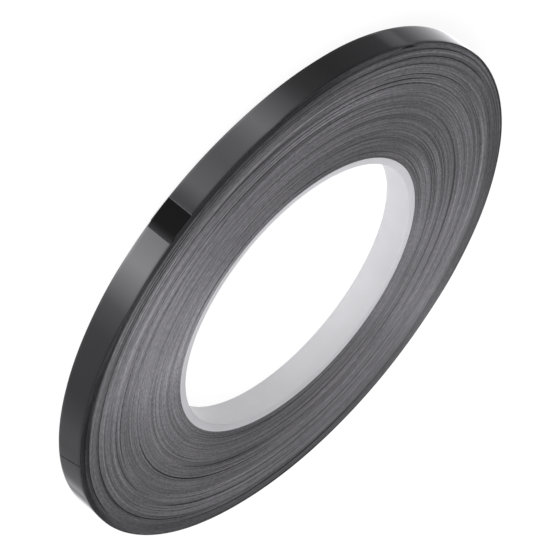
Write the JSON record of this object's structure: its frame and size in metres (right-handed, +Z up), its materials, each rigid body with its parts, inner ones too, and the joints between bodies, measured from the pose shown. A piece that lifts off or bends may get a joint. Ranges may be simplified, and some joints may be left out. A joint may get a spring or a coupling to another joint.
{
  "type": "foil tape roll",
  "caption": "Flat narrow roll of glossy black lined foil tape wound on a thin white plastic ring core, its free end held down by a small black tab.",
  "frame": {"origin": "on the bore's axis, in the plane of the underside that the roll lies on", "axes": "+Z up along the bore's axis; the hold-down tab is on the -Y side, with the free end's cut edge at 276 degrees from +X"},
  "size_m": [0.1015, 0.1017, 0.0056],
  "materials": {
    "core_plastic": "satin white moulded plastic, slightly translucent",
    "tape_face": "high-gloss black coated foil face with soft waviness",
    "wound_edges": "dark grey slit edges of the wound turns, fine concentric grooves",
    "adhesive": "dark pressure-sensitive adhesive, tacky satin",
    "liner": "dark release liner, satin",
    "tab_film": "deep black hold-down tab film, satin gloss"
  },
  "bodies": {
    "roll": {"core": "core_plastic", "core_tack": "adhesive", "wound_tape": "wound_edges", "outer_turn_liner": "liner", "outer_turn_adhesive": "adhesive", "outer_turn_foil": "tape_face"},
    "free_end": {"free_end_liner": "liner", "free_end_adhesive": "adhesive", "free_end_foil": "tape_face"},
    "tab": {"tab_adhesive": "adhesive", "hold_down_tab": "tab_film"}
  },
  "joints": [
    {"name": "free_end_peel", "type": "hinge", "parent": "roll", "child": "free_end", "pos_m": [-0.0201, -0.04677, 0.00278], "axis": [0, 0, -1], "range_deg": [0, 110]},
    {"name": "tab_peel", "type": "hinge", "parent": "free_end", "child": "tab", "pos_m": [0.00058, -0.05101, 0.00278], "axis": [0, 0, -1], "range_deg": [0, 120]}
  ]
}
